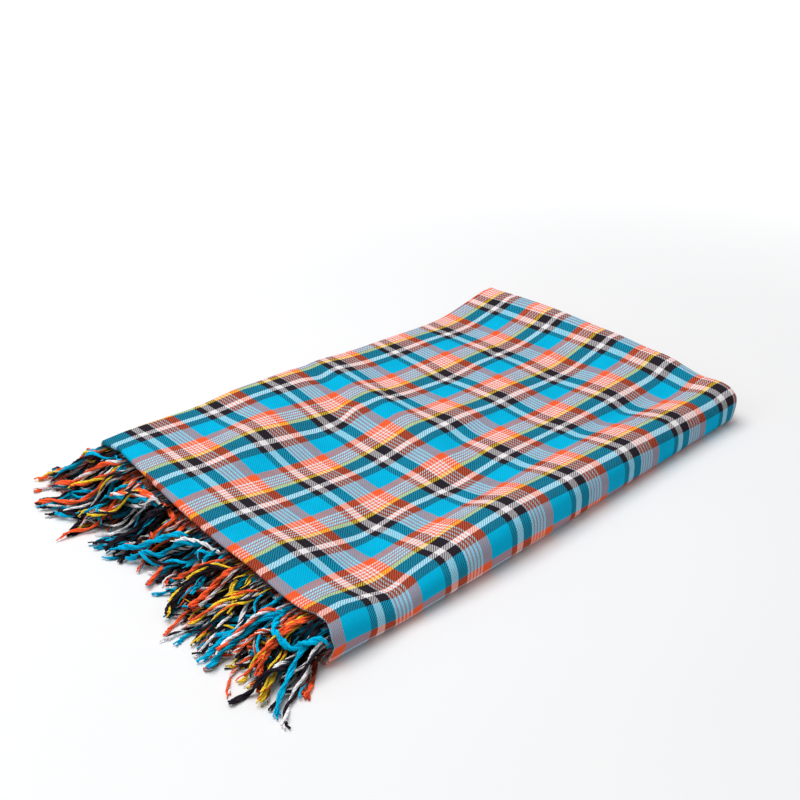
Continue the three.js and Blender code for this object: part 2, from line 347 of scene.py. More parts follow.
def squared_wall(y: np.ndarray, z: np.ndarray) -> tuple[np.ndarray, np.ndarray]:
    """Makes the round wall of the near fold stand squarer, more so at its foot.

    Args:
        y: Places across the width.
        z: Heights over the surface.

    Returns:
        The places and heights of the squarer wall.
    """
    beyond = np.maximum(SWELL_Y[0] - y, 0.0)
    over = z - STACK_HEIGHT / 2
    radius = np.maximum(np.hypot(beyond, over), 1e-6)
    power = np.where(over < 0, WALL_FOOT_POWER, WALL_TOP_POWER)
    shares = (beyond / radius) ** power + np.abs(over / radius) ** power
    swollen = np.where(beyond > 0, shares ** (-1 / power), 1.0)
    out = WALL_OUT * smooth(beyond / (STACK_HEIGHT / 2))
    return y - beyond * (swollen - 1) - out, STACK_HEIGHT / 2 + over * swollen


def settled(x: np.ndarray, y: np.ndarray, z: np.ndarray) -> np.ndarray:
    """Moves points of the even, square-cornered stack to where the cloth really lies.

    Args:
        x: Places along the length.
        y: Places across the width.
        z: Heights over the surface.

    Returns:
        Points, with their three coordinates in the last axis.
    """
    x, y, z = np.broadcast_arrays(x, y, z)
    held_x, held_y = np.clip(x, *SWELL_X), np.clip(y, *SWELL_Y)
    height = STACK_HEIGHT + sum(swell.at(held_x, held_y) for swell in SWELLS + RIPPLES + CREASES)
    height = height + 0.3 * np.sin(x / 19 + 1.3 * np.sin(y / 31)) * np.sin(y / 23 + 0.9 * np.sin(x / 37))
    y, z = squared_wall(y, z)
    share = z / STACK_HEIGHT
    real_x, real_y = outline(x, y)
    return np.stack([real_x, real_y, share * height], axis=-1)


@dataclass(frozen=True)
class Route:
    """Stations along a strip that is folded in half twice.

    Attributes:
        along: Place of each station along the folded strip.
        height: Height of the strip's middle.
        head_along: Heading along the strip.
        head_height: Heading upwards.
        level: Level among the four runs, lowest 0.
        travelled: Distance along the strip, equal to the place on the top run.
    """

    along: np.ndarray
    height: np.ndarray
    head_along: np.ndarray
    head_height: np.ndarray
    level: np.ndarray
    travelled: np.ndarray

    @classmethod
    def folded(
        cls,
        low_bend: float,
        high_bend: float,
        raw_end: float,
        depth: float,
        pitch: float,
        spacing: Sequence[float],
        bend_steps: Sequence[int],
    ) -> "Route":
        """Lays out the stations of a strip folded in half twice.

        Args:
            low_bend: Where the runs end on the low side, at the two nested bends.
            high_bend: Where the two upper runs end on the high side.
            raw_end: Where the two raw ends are.
            depth: Thickness of the strip.
            pitch: Height from one run to the next.
            spacing: Distance between stations on each run, by its level.
            bend_steps: Steps of each of the three bends, in the order of the strip.

        Returns:
            The route.
        """
        rows: list[tuple[float, float, float, float]] = []
        for run, (level, heading) in enumerate(FOLD_ORDER):
            turn = math.pi if heading < 0 else 0.0
            middle = level * pitch + depth / 2
            high = raw_end if run in (0, RUNS - 1) else high_bend
            first, last = (high, low_bend) if heading < 0 else (low_bend, high)
            count = max(2, round(abs(last - first) / spacing[level]))
            for place in np.linspace(first, last, count + 1):
                rows.append((place, middle, turn, level))
            if run == RUNS - 1:
                break
            above = FOLD_ORDER[run + 1][0]
            radius = abs(above - level) * pitch / 2
            centre = (above + level) * pitch / 2 + depth / 2
            rising = math.copysign(1, above - level)
            for step in range(1, bend_steps[run]):
                angle = math.pi * step / bend_steps[run]
                rows.append(
                    (
                        last + heading * radius * math.sin(angle),
                        centre - rising * radius * math.cos(angle),
                        turn + heading * rising * angle,
                        level + (above - level) * step / bend_steps[run],
                    )
                )
        along, height, turns, levels = np.array(rows).T
        travelled = np.concatenate([[0], np.cumsum(np.hypot(np.diff(along), np.diff(height)))])
        top = int(np.argmax(levels == TOP_RUN))
        travelled += along[top] - travelled[top]
        return cls(along, height, np.cos(turns), np.sin(turns), levels, travelled)

    def inward(self, distance: np.ndarray | float) -> tuple[np.ndarray, np.ndarray]:
        """Steps from the strip's middle to the right-hand side of its heading.

        Args:
            distance: How far to step, below 0 to the left.

        Returns:
            The places along the strip and the heights.
        """
        return (
            self.along + self.head_height * distance,
            self.height - self.head_along * distance,
        )


LAYER_ROUTE = Route.folded(
    low_bend=-HALF_LENGTH + QUIRE_DEPTH / 2,
    high_bend=HALF_LENGTH - LAYER_PITCH + LAYER_GAP / 2,
    raw_end=HALF_LENGTH - END_SETBACK,
    depth=CLOTH_THICKNESS,
    pitch=LAYER_PITCH,
    spacing=(26, 26, 16, 3.9),
    bend_steps=(12, 7, 5),
)
QUIRE_ROUTE = Route.folded(
    low_bend=-HALF_WIDTH + STACK_HEIGHT / 2,
    high_bend=HALF_WIDTH - QUIRE_PITCH + LAYER_GAP / 2,
    raw_end=HALF_WIDTH - SIDE_SETBACK,
    depth=QUIRE_DEPTH,
    pitch=QUIRE_PITCH,
    spacing=(12, 30, 30, 3.9),
    bend_steps=(26, 14, 8),
)


def end_shift(x: np.ndarray, level: np.ndarray) -> np.ndarray:
    """Gives how far a quire's ends reach past the even outline.

    Args:
        x: Places along the length.
        level: Levels among the quires.

    Returns:
        The shift along the length, 0 between the end zones.
    """
    left = np.interp(level, range(RUNS), QUIRE_LEFT) * smooth((SWELL_X[0] - x) / 10)
    right = np.interp(level, range(RUNS), QUIRE_RIGHT) * smooth((x - SWELL_X[1]) / 7)
    return left + right


def on_quires(x: np.ndarray, depth: np.ndarray) -> np.ndarray:
    """Places points of one quire's section at every station of the quires' route.

    Args:
        x: Places along the length, one for each point of the section.
        depth: Depths from the quire's outer face.

    Returns:
        Points as an array of stations by section points by three.
    """
    across, height = [], []
    for one in depth:
        places, heights = QUIRE_ROUTE.inward(one - QUIRE_DEPTH / 2)
        across.append(places)
        height.append(heights)
    level = QUIRE_ROUTE.level[:, None]
    places, heights = np.array(across).T, np.array(height).T
    shifted = x[None, :] + end_shift(x[None, :], level)
    flare = smooth(1 - heights / 13) * smooth((-126 - places) / 30) * smooth((-185 - shifted) / 55)
    return settled(shifted - FOOT_FLARE * flare, places, heights)


def across_places() -> np.ndarray:
    """Gives the place across the flat cloth of each station of the quires' route.

    Returns:
        Distances along the outermost layer, equal to the place across on the top run.
    """
    middle = on_quires(np.array([0.0]), np.array([CLOTH_THICKNESS / 2]))[:, 0]
    gone = np.concatenate([[0], np.cumsum(np.linalg.norm(np.diff(middle, axis=0), axis=1))])
    on_top = QUIRE_ROUTE.level == TOP_RUN
    first, last = np.flatnonzero(on_top)[[0, -1]]
    places = gone - gone[first] + QUIRE_ROUTE.along[first]
    places[last:] += QUIRE_ROUTE.along[last] - places[last]
    places[on_top] = QUIRE_ROUTE.along[on_top]
    return places


@dataclass
class MeshParts:
    """Vertices, faces and flat-cloth coordinates that become one object.

    Attributes:
        name: Name of the object.
        points: Arrays of points in millimetres.
        faces: Arrays of faces, numbered from the first point of the whole.
        flat: Arrays of each point's place on the flat cloth, in millimetres.
        yarn: Arrays of each point's painted light share, for painted shade in the heap, and its place
            along its yarn.
        count: Number of points so far.
    """

    name: str
    points: list[np.ndarray] = field(default_factory=list)
    faces: list[np.ndarray] = field(default_factory=list)
    flat: list[np.ndarray] = field(default_factory=list)
    yarn: list[np.ndarray] = field(default_factory=list)
    count: int = 0

    def add(self, points: np.ndarray, faces: np.ndarray, flat: np.ndarray, yarn: np.ndarray) -> None:
        """Adds one body.

        Args:
            points: Its points.
            faces: Its four-cornered faces, numbered from its own first point.
            flat: Each point's place on the flat cloth.
            yarn: Each point's painted light share, from 0 to 1, for painted shade in the heap, and its
                place along its yarn.
        """
        self.points.append(points)
        self.faces.append(faces + self.count)
        self.flat.append(flat)
        self.yarn.append(yarn)
        self.count += len(points)

    def build(self, material: bpy.types.Material, sharp: float | None = None) -> bpy.types.Object:
        """Makes the object.

        Args:
            material: Its material.
            sharp: Angle in degrees from which its edges stay sharp, or None.

        Returns:
            The object.
        """
        points = np.concatenate(self.points) * METRES
        faces = np.concatenate(self.faces)
        mesh = bpy.data.meshes.new(self.name)
        mesh.from_pydata(points.tolist(), [], faces.tolist())
        corners = np.empty(len(mesh.loops), dtype=np.int64)
        mesh.loops.foreach_get("vertex_index", corners)
        for title, values in (("FlatCloth", self.flat), ("Yarn", self.yarn)):
            layer = mesh.uv_layers.new(name=title)
            layer.data.foreach_set("uv", np.concatenate(values)[corners].ravel())
        mesh.polygons.foreach_set("use_smooth", np.ones(len(mesh.polygons), dtype=bool))
        if sharp is not None:
            mesh.set_sharp_from_angle(angle=math.radians(sharp))
        mesh.materials.append(material)
        mesh.update()
        thing = bpy.data.objects.new(self.name, mesh)
        bpy.context.scene.collection.objects.link(thing)
        log.info("%s: %d points, %d triangles", self.name, len(points), 2 * len(faces))
        return thing


def grid_faces(rows: int, columns: int) -> np.ndarray:
    """Numbers the four-cornered faces of a grid of points.

    Args:
        rows: Rows of points.
        columns: Points in a row.

    Returns:
        One row of four point numbers for each face.
    """
    first = (np.arange(rows - 1)[:, None] * columns + np.arange(columns - 1)).ravel()
    return np.stack([first, first + 1, first + 1 + columns, first + columns], axis=1)


@dataclass
class FoldedCloth:
    """The cloth: one thin sheet swept through all its folds."""

    def section(self) -> tuple[np.ndarray, np.ndarray, np.ndarray]:
        """Gives the closed section of one quire, outer face first.

        Returns:
            Places along the length, depths, and places on the flat cloth.
        """
        x, depth, flat = [], [], []
        for side, order in ((1, 1), (-1, -1)):
            along, height = LAYER_ROUTE.inward(side * CLOTH_THICKNESS / 2)
            x.append(-along[::order])
            depth.append((QUIRE_DEPTH - height)[::order])
            flat.append(-LAYER_ROUTE.travelled[::order])
        return np.concatenate(x), np.concatenate(depth), np.concatenate(flat)

    def flat_places(self, flat_x: np.ndarray) -> np.ndarray:
        """Gives each point's place on the flat cloth. On the top layer it is the real place.

        Args:
            flat_x: Places of the section's points along the flat cloth.

        Returns:
            Places along and across the flat cloth.
        """
        ends = np.clip(flat_x, -HALF_LENGTH + END_MARGIN, HALF_LENGTH - END_MARGIN)
        flat_y = across_places()
        sides = np.clip(flat_y, -HALF_WIDTH + NEAR_MARGIN, HALF_WIDTH - FAR_MARGIN)
        real_x, real_y = outline(ends[None, :], sides[:, None])
        real_x = real_x + RIGHT_STRETCH * smooth((real_x - BUMPS_START) / BUMPS_WIDTH)
        return np.stack(
            [
                flat_x[None, :] + real_x - ends[None, :],
                flat_y[:, None] + real_y - sides[:, None],
            ],
            axis=-1,
        )

    def build(self, material: bpy.types.Material) -> bpy.types.Object:
        """Makes the cloth.

        Args:
            material: The woven check.

        Returns:
            The cloth's object.
        """
        x, depth, flat_x = self.section()
        points = on_quires(x, depth)
        flat = self.flat_places(flat_x)
        rows, columns = points.shape[:2]
        numbers = np.arange(rows * columns).reshape(rows, columns)
        wrapped = np.concatenate([numbers, numbers[:, :1]], axis=1)
        sides = np.stack(
            [wrapped[:-1, :-1], wrapped[:-1, 1:], wrapped[1:, 1:], wrapped[1:, :-1]], axis=-1
        ).reshape(-1, 4)
        half = columns // 2
        near = np.arange(half - 1)
        far = columns - 1 - near
        low = np.stack([near, far, far - 1, near + 1], axis=1)
        high = (numbers[-1, 0] + low)[:, ::-1]
        parts = MeshParts("folded_cloth")
        flat = flat.reshape(-1, 2)
        parts.add(points.reshape(-1, 3), np.concatenate([sides, low, high]), flat, flat)
        return parts.build(material, sharp=55)


def cross_directions(path: np.ndarray) -> tuple[np.ndarray, np.ndarray]:
    """Gives two directions across a path, turned as little as possible along it.

    Args:
        path: Points of the path.

    Returns:
        Two arrays of unit directions, square to the path and to each other.
    """
    ahead = np.gradient(path, axis=0)
    ahead /= np.linalg.norm(ahead, axis=1, keepdims=True)
    side = np.empty_like(path)
    start = np.cross(ahead[0], (0.0, 0.0, 1.0))
    side[0] = start / max(np.linalg.norm(start), 1e-6)
    for i in range(1, len(path)):
        carried = side[i - 1] - ahead[i] * np.dot(side[i - 1], ahead[i])
        side[i] = carried / max(np.linalg.norm(carried), 1e-6)
    return side, np.cross(ahead, side)


@dataclass
class Heap:
    """Heights of the strands that already lie beside the cloth, on a square grid of the floor.

    Attributes:
        cell: Size of a cell.
        low: Lowest corner of the grid.
        heights: Height of the heap in each cell.
    """

    cell: float = 1.5
    low: tuple[float, float] = (-350.0, -240.0)
    heights: np.ndarray = field(default_factory=lambda: np.zeros((110, 300)))

    def cells(self, path: np.ndarray) -> tuple[np.ndarray, np.ndarray]:
        """Finds the cells under a path.

        Args:
            path: Points of the path.

        Returns:
            Cell numbers both ways.
        """
        i = ((path[:, 0] - self.low[0]) / self.cell).astype(int)
        j = ((path[:, 1] - self.low[1]) / self.cell).astype(int)
        return (
            np.clip(i, 1, self.heights.shape[0] - 2),
            np.clip(j, 1, self.heights.shape[1] - 2),
        )

    def under(self, path: np.ndarray) -> np.ndarray:
        """Gives the height of what lies under a path.

        Args:
            path: Points of the path.

        Returns:
            The height at each point.
        """
        i, j = self.cells(path)
        near = [self.heights[i + a, j + b] for a in (-1, 0, 1) for b in (-1, 0, 1)]
        return 0.5 * np.mean(near, axis=0) + 0.5 * np.max(near, axis=0)

    def lay(self, path: np.ndarray, radius: float) -> None:
        """Adds a strand to the heap.

        Args:
            path: Points of its middle line.
            radius: Its radius.
        """
        i, j = self.cells(path)
        for a in (-1, 0, 1):
            for b in (-1, 0, 1):
                share = 0.75 if a == b == 0 else 0.2
                top = path[:, 2] + radius * share
                np.maximum.at(self.heights, (i + a, j + b), top)


@dataclass(frozen=True)
class Strand:
    """One twisted strand of the fringe.

    Attributes:
        layer: Layer of its raw end: 3 for the first end of the cloth, 2 for the second.
        quire: Quire that it leaves.
        across: Place of its root across the width.
        flats: Places of its plies' yarns across the flat cloth.
        length: Length past the folded end.
        heading: Direction that it leaves in, in degrees from -X towards -Y.
        bend: How far it turns over its length, in degrees.
        wave: Size of its waves, in degrees.
        radius: Radius of the whole strand.
        tip: Where its tip lies on the floor, or None where the heading says it.
    """

    layer: int
    quire: int
    across: float
    flats: tuple[float, ...]
    length: float
    heading: float
    bend: float
    wave: float
    radius: float
    tip: tuple[float, float] | None = None


# How far the strands reach past the folded end, by their place across the width.
REACHES = (
    (-170, 46), (-145, 56), (-110, 72), (-60, 60), (-20, 46),
    (20, 44), (60, 54), (120, 64), (150, 66),
)
# The way the strands head, in degrees from -X towards -Y, by their place across the width.
HEADINGS = (
    (-170, 24), (-145, 20), (-110, 8), (-80, -4), (-40, -8),
    (0, -24), (50, -42), (100, -34), (130, -46), (155, -74),
)
# How far a strand lies hidden beyond the setback of the cloth's raw end.
ROOT_COVER = 5.0
# Nearer than this place across the width, the strands spread less.
CROWDED_CORNER = -125.0
# Beyond this place across the width, the strands are pressed in by this share.
PRESSED_PAST = 177.0
PRESS = 0.72

YARNS_OF_PLY = 3
YARN_SIDES = 4
SEEN_WAVE = 7.0
# Depth in the heap at which a yarn's painted light share falls to about a third: its colour is darkened
# with depth as painted shade.
PAINTED_SHADE_DEPTH = 5.0


@dataclass(frozen=True)
class SeenStrand:
    """A strand that the photo shows on top of the heap.

    Attributes:
        across: Place of its root across the width.
        yarns: Colours of its plies.
        tip: Where its tip lies, along the length and across the width.
        bend: How far it turns over its length, in degrees.
        layer: Layer of its raw end.
        radius: Radius of the whole strand.
        slack: Its length as a share of the way to its tip.
    """

    across: float
    yarns: tuple["Yarn", ...]
    tip: tuple[float, float]
    bend: float = 0.0
    layer: int = 2
    radius: float = 1.9
    slack: float = 1.08

    def strand(self) -> Strand:
        """Gives the strand, rooted in the top quire.

        Returns:
            The strand.
        """
        flats = tuple(YARN_PLACES[yarn] for yarn in self.yarns)
        edge, _ = outline(np.float64(-HALF_LENGTH), np.float64(self.across))
        away = math.hypot(self.tip[0] - edge, self.tip[1] - self.across)
        lie = (self.slack * away, 0.0, self.bend, SEEN_WAVE, self.radius)
        return Strand(self.layer, TOP_RUN, self.across, flats, *lie, tip=self.tip)


# Most of these places, tips and bends were printed by a separate program, from spots read in the
# photo, and some were then changed by hand.
SEEN_STRANDS = (
    SeenStrand(153, (Yarn.CYAN, Yarn.CYAN), (-213, 175), bend=-120, layer=3, radius=2.3, slack=1.45),
    SeenStrand(154, (Yarn.RED, Yarn.WHITE), (-236, 188), bend=30, layer=3, radius=1.5),
    SeenStrand(153, (Yarn.CYAN, Yarn.CYAN), (-254, 190), bend=24, radius=2.2),
    SeenStrand(151, (Yarn.CYAN, Yarn.RED), (-246, 186), bend=22, layer=3, radius=1.6),
    SeenStrand(149, (Yarn.BLACK, Yarn.CYAN), (-258, 184), bend=20, layer=3),
    SeenStrand(147, (Yarn.RED, Yarn.YELLOW), (-274, 184), bend=32, radius=2.1),
    SeenStrand(139, (Yarn.CYAN, Yarn.BLACK), (-265, 171), layer=3, radius=2.3),
    SeenStrand(134, (Yarn.BLACK, Yarn.CYAN), (-268, 163), bend=14),
    SeenStrand(120, (Yarn.RED, Yarn.RED, Yarn.WHITE), (-268, 157), radius=2.3),
    SeenStrand(118, (Yarn.RED, Yarn.YELLOW), (-266, 141), bend=-22, layer=3, radius=2.2),
    SeenStrand(103, (Yarn.RED, Yarn.RED), (-292, 148), layer=3, radius=2.1),
    SeenStrand(104, (Yarn.WHITE, Yarn.BLACK), (-298, 128), bend=-12),
    SeenStrand(91, (Yarn.BLACK, Yarn.CYAN), (-289, 124), bend=-44, layer=3, radius=2.3),
    SeenStrand(106, (Yarn.BLACK, Yarn.WHITE, Yarn.YELLOW), (-282, 101), bend=70),
    SeenStrand(64, (Yarn.CYAN, Yarn.CYAN), (-232, 124), bend=30, layer=3, radius=2.1),
    SeenStrand(51, (Yarn.CYAN, Yarn.CYAN), (-261, 100), layer=3, radius=2.1),
    SeenStrand(43, (Yarn.RED, Yarn.WHITE), (-258, 87), bend=24),
    SeenStrand(24, (Yarn.RED, Yarn.RED), (-247, 70), bend=40, layer=3, radius=2.2),
    SeenStrand(51, (Yarn.WHITE, Yarn.WHITE), (-252, 50), bend=110, radius=1.6, slack=1.5),
    SeenStrand(70, (Yarn.BLACK, Yarn.YELLOW), (-278, 91), bend=-18, layer=3),
    SeenStrand(43, (Yarn.BLACK, Yarn.BLACK), (-288, 52), bend=24, radius=2.3),
    SeenStrand(3, (Yarn.CYAN, Yarn.CYAN), (-285, 47), bend=5, layer=3, radius=2.4),
    SeenStrand(-11, (Yarn.CYAN, Yarn.CYAN), (-282, 32), bend=10, radius=2.3),
    SeenStrand(-24, (Yarn.CYAN, Yarn.BLACK), (-278, 22), bend=-25, layer=3, radius=2.2),
    SeenStrand(-30, (Yarn.WHITE, Yarn.WHITE), (-259, 5), bend=50, radius=1.7),
    SeenStrand(-35, (Yarn.RED, Yarn.RED), (-273, -16), bend=-16, layer=3),
    SeenStrand(-49, (Yarn.BLACK, Yarn.YELLOW), (-270, -31), bend=70, radius=2.1),
    SeenStrand(-51, (Yarn.RED, Yarn.RED), (-286, -57), bend=33, radius=2.3),
    SeenStrand(-46, (Yarn.BLACK, Yarn.BLACK), (-299, -48), bend=80, layer=3, radius=2.2),
    SeenStrand(-44, (Yarn.BLACK, Yarn.YELLOW), (-302, -51), bend=96, layer=3),
    SeenStrand(-66, (Yarn.YELLOW, Yarn.YELLOW), (-268, -64), bend=-110, radius=1.7, slack=1.5),
    SeenStrand(-79, (Yarn.RED, Yarn.YELLOW), (-299, -66), bend=26, layer=3),
    SeenStrand(-86, (Yarn.BLACK, Yarn.YELLOW), (-305, -84), bend=37),
    SeenStrand(-111, (Yarn.CYAN, Yarn.CYAN), (-312, -102), bend=66, radius=2.2),
    SeenStrand(-111, (Yarn.CYAN, Yarn.CYAN), (-312, -112), bend=56, layer=3, radius=2.2),
    SeenStrand(-107, (Yarn.RED, Yarn.WHITE), (-303, -108), bend=66, radius=2.1),
    SeenStrand(-121, (Yarn.RED, Yarn.YELLOW), (-305, -134), bend=-20, layer=3),
    SeenStrand(-146, (Yarn.BLACK, Yarn.BLACK), (-322, -147), bend=-14, radius=2.1),
    SeenStrand(-149, (Yarn.CYAN, Yarn.CYAN), (-308, -180), bend=62, layer=3, radius=2.2),
    SeenStrand(-133, (Yarn.RED, Yarn.RED), (-297, -146), bend=80, radius=2.3),
    SeenStrand(-128, (Yarn.RED, Yarn.YELLOW), (-291, -139), bend=60, layer=3),
    SeenStrand(-152, (Yarn.WHITE, Yarn.BLACK), (-310, -190), bend=38, radius=2.1),
    SeenStrand(-109, (Yarn.CYAN, Yarn.CYAN), (-237, -156), bend=190, layer=3, radius=2.7, slack=1.7),
)


@dataclass
class Fringe:
    """The twisted strands of both raw ends of the cloth, heaped beside the folded ends."""

    random: np.random.Generator = field(default_factory=lambda: np.random.default_rng(11))
    heap: Heap = field(default_factory=Heap)
    strands_per_end: int = 27
    step: float = 3.0

    def root(self, strand: Strand) -> np.ndarray:
        """Finds where a strand leaves its raw end.

        Args:
            strand: The strand.

        Returns:
            The point on the raw end.
        """
        heading = dict(FOLD_ORDER)[strand.quire]
        depth = strand.layer * LAYER_PITCH + CLOTH_THICKNESS / 2
        height = strand.quire * QUIRE_PITCH + QUIRE_DEPTH / 2 - heading * (depth - QUIRE_DEPTH / 2)
        across, level = strand.across, float(strand.quire)
        beyond = SWELL_Y[0] - across
        if beyond > 0:
            radius = abs(height - STACK_HEIGHT / 2)
            angle = math.asin(min(beyond / radius, 0.97))
            side = math.copysign(1, height - STACK_HEIGHT / 2)
            height = STACK_HEIGHT / 2 + side * radius * math.cos(angle)
            across = SWELL_Y[0] - radius * math.sin(angle)
            level += (RUNS - 1 - 2 * strand.quire) * angle / math.pi
        x = -HALF_LENGTH + END_SETBACK + 1.5 + np.interp(level, range(RUNS), QUIRE_LEFT)
        return settled(np.float64(x), np.float64(across), np.float64(height))

    def path(self, strand: Strand) -> np.ndarray:
        """Lays a strand's middle line from its root, over the heap, to its tip.

        Args:
            strand: The strand.

        Returns:
            Points of the line.
        """
        start = self.root(strand)
        hidden = END_SETBACK + ROOT_COVER
        total = hidden + strand.length
        count = max(10, int(total / self.step))
        gone = np.linspace(0, total, count)
        out = np.maximum(gone - hidden, 0) / strand.length
        phase, waves = self.random.uniform(0, 2 * math.pi), self.random.uniform(0.7, 1.6)
        turn = np.radians(
            strand.heading * smooth(out * 3.2)
            + strand.bend * out**1.3
            + strand.wave * np.sin(phase + waves * 2 * math.pi * out) * smooth(out * 4)
        )
        step = total / (count - 1)
        level_step = step * np.where((out > 0.02) & (out < 0.45), 0.86, 1.0)
        x = start[0] - np.concatenate([[0], np.cumsum(np.cos(turn[:-1]) * level_step[:-1])])
        y = start[1] - np.concatenate([[0], np.cumsum(np.sin(turn[:-1]) * level_step[:-1])])
        if strand.tip is not None:
            x, y = self.brought_to(strand.tip, x, y, int(np.searchsorted(gone, hidden)))
        y = y - PRESS * np.maximum(y - PRESSED_PAST, 0)
        fall = start[2] * (1 - smooth(out * strand.length / (26 + 0.5 * start[2])))
        line = np.stack([x, y, fall], axis=-1)
        resting = self.heap.under(line) + 0.8 * strand.radius
        resting = np.where(gone < hidden, 0, resting * smooth(out * 5))
        lifted = np.maximum(fall, resting)
        for _ in range(3):
            lifted[2:-1] = 0.25 * lifted[1:-2] + 0.5 * lifted[2:-1] + 0.25 * lifted[3:]
        line[:, 2] = np.maximum(lifted, strand.radius * 0.85)
        self.heap.lay(line[gone > hidden], strand.radius)
        return line

    def brought_to(
        self, tip: tuple[float, float], x: np.ndarray, y: np.ndarray, first: int
    ) -> tuple[np.ndarray, np.ndarray]:
        """Turns and stretches the open part of a line so that it ends at a given tip.

        Args:
            tip: The tip's place.
            x: Places along the length.
            y: Places across the width.
            first: Number of the first point that moves.

        Returns:
            The new places along the length and across the width.
        """
        line = x + 1j * y
        held = line[first]
        change = (complex(*tip) - held) / (line[-1] - held)
        line = np.where(np.arange(len(line)) < first, line, held + (line - held) * change)
        return line.real, line.imag

    def tube(
        self,
        parts: MeshParts,
        line: np.ndarray,
        radius: np.ndarray,
        painted_light_share: np.ndarray,
        flat: float,
    ) -> None:
        """Adds a tube along a line.

        Args:
            parts: Mesh to add it to.
            line: Points of its middle line.
            radius: Its radius at each of them.
            painted_light_share: Its painted light share at each of them, from 0 to 1, for painted shade
                in the heap.
            flat: Place of its yarn across the flat cloth.
        """
        side, up = cross_directions(line)
        angle = np.linspace(0, 2 * math.pi, YARN_SIDES + 1)
        ring = side[:, None] * np.cos(angle)[None, :, None] + up[:, None] * np.sin(angle)[None, :, None]
        points = line[:, None] + ring * radius[:, None, None]
        points[..., 2] = np.maximum(points[..., 2], 0.05)
        gone = np.concatenate([[0], np.cumsum(np.linalg.norm(np.diff(line, axis=0), axis=1))])
        places = np.stack(np.broadcast_arrays(gone[:, None], flat + 0 * angle[None, :]), axis=-1)
        round_it = 0 * angle[None, :]
        yarn = np.stack([painted_light_share[:, None] + round_it, gone[:, None] + round_it], axis=-1)
        parts.add(
            points.reshape(-1, 3),
            grid_faces(len(line), YARN_SIDES + 1),
            places.reshape(-1, 2),
            yarn.reshape(-1, 2),
        )

    def twist(self, parts: MeshParts, strand: Strand, line: np.ndarray) -> None:
        """Adds one twisted strand. Its yarns open at the tip like those of a cut brush.

        Args:
            parts: Mesh to add it to.
            strand: The strand.
            line: Points of its middle line.
        """
        side, up = cross_directions(line)
        gone = np.concatenate([[0], np.cumsum(np.linalg.norm(np.diff(line, axis=0), axis=1))])
        swelling = 0.3 + 0.7 * smooth((gone - END_SETBACK) / 9)
        opening = smooth((gone - gone[-1] + 11) / 11)
        # Painted shade: yarns deep in the heap, and near the root under the cloth's end, get a painted
        # light share below 1 that darkens their colour in the material.
        buried = self.heap.under(line) - line[:, 2] - 0.5 * strand.radius
        painted_shade_depth = np.where(gone < END_SETBACK + 8.0, PAINTED_SHADE_DEPTH, np.maximum(buried, 0))
        painted_light_share = np.exp(-painted_shade_depth / PAINTED_SHADE_DEPTH)
        plies = len(strand.flats)
        pitch = self.random.uniform(20, 36)
        phase, yarn_phase = self.random.uniform(0, 2 * math.pi, 2)
        for ply, flat in enumerate(strand.flats):
            turn = phase + 2 * math.pi * (gone / pitch + ply / plies)
            away = strand.radius * 0.5 * swelling * (1 + 0.5 * opening)
            for yarn in range(YARNS_OF_PLY):
                own = yarn_phase + 2 * math.pi * (1.7 * gone / pitch + yarn / YARNS_OF_PLY)
                around = strand.radius * 0.28 * swelling * (1 + 1.3 * opening)
                right = away * np.cos(turn) + around * np.cos(own)
                above = (away * np.sin(turn) + around * np.sin(own)) * (1 - 0.45 * opening)
                middle = line + side * right[:, None] + up * above[:, None]
                radius = strand.radius * self.random.uniform(0.31, 0.39) * swelling
                middle[:, 2] = np.maximum(middle[:, 2], radius)
                kept = len(line) - int(self.random.integers(0, 3))
                own_flat = flat + self.random.normal(0, 1.3)
                self.tube(parts, middle[:kept], radius[:kept], painted_light_share[:kept], own_flat)

    def strands(self) -> list[Strand]:
        """Chooses the strands of all raw ends.

        Returns:
            The strands, from the lowest quire up.
        """
        made = []
        first, last = SWELL_Y[0] - 9, HALF_WIDTH - SIDE_SETBACK - 3
        for quire in range(RUNS):
            for layer in (2, 3):
                places = np.linspace(first, last, self.strands_per_end)
                for place in places:
                    made.append(self.chance_strand(quire, layer, float(place)))
        return made + [seen.strand() for seen in SEEN_STRANDS]

    def chance_strand(self, quire: int, layer: int, place: float) -> Strand:
        """Makes one strand that lies as chance has it.

        Args:
            quire: Quire that it leaves.
            layer: Layer that it leaves.
            place: Its place across the width, before chance.

        Returns:
            The strand.
        """
        draw = self.random
        across = place + draw.uniform(-5, 5)
        spread = across > CROWDED_CORNER
        clump = math.sin(across / 9.5 + 2.1 * quire + 1.3 * layer)
        reach = np.interp(across, *zip(*REACHES)) * (1 + 0.14 * clump)
        heading = np.interp(across, *zip(*HEADINGS)) + 17 * clump
        flat = self.flat_place(across, quire)
        plies = 3 if draw.random() < 0.2 else 2
        return Strand(
            layer=layer,
            quire=quire,
            across=across,
            flats=tuple(flat + draw.normal(0, 3.2, plies)),
            length=reach * draw.uniform(0.5, 1.12) + 4,
            heading=heading + np.clip(draw.normal(0, 28), -50, 50 if spread else 4),
            bend=np.clip(draw.normal(0, 36), -60, 48 if spread else 6),
            wave=draw.uniform(4, 32 if spread else 10),
            radius=draw.uniform(1.4, 2.05),
        )

    def flat_place(self, across: float, quire: int) -> float:
        """Finds the place on the flat cloth of a place across the folded width.

        Args:
            across: Place across the width.
            quire: Quire that the strand leaves.

        Returns:
            The place across the flat cloth.
        """
        own = np.abs(QUIRE_ROUTE.level - quire) < 0.01
        order = np.argsort(QUIRE_ROUTE.along[own])
        places, flats = QUIRE_ROUTE.along[own][order], QUIRE_ROUTE.travelled[own][order]
        return float(np.interp(across, places, flats))

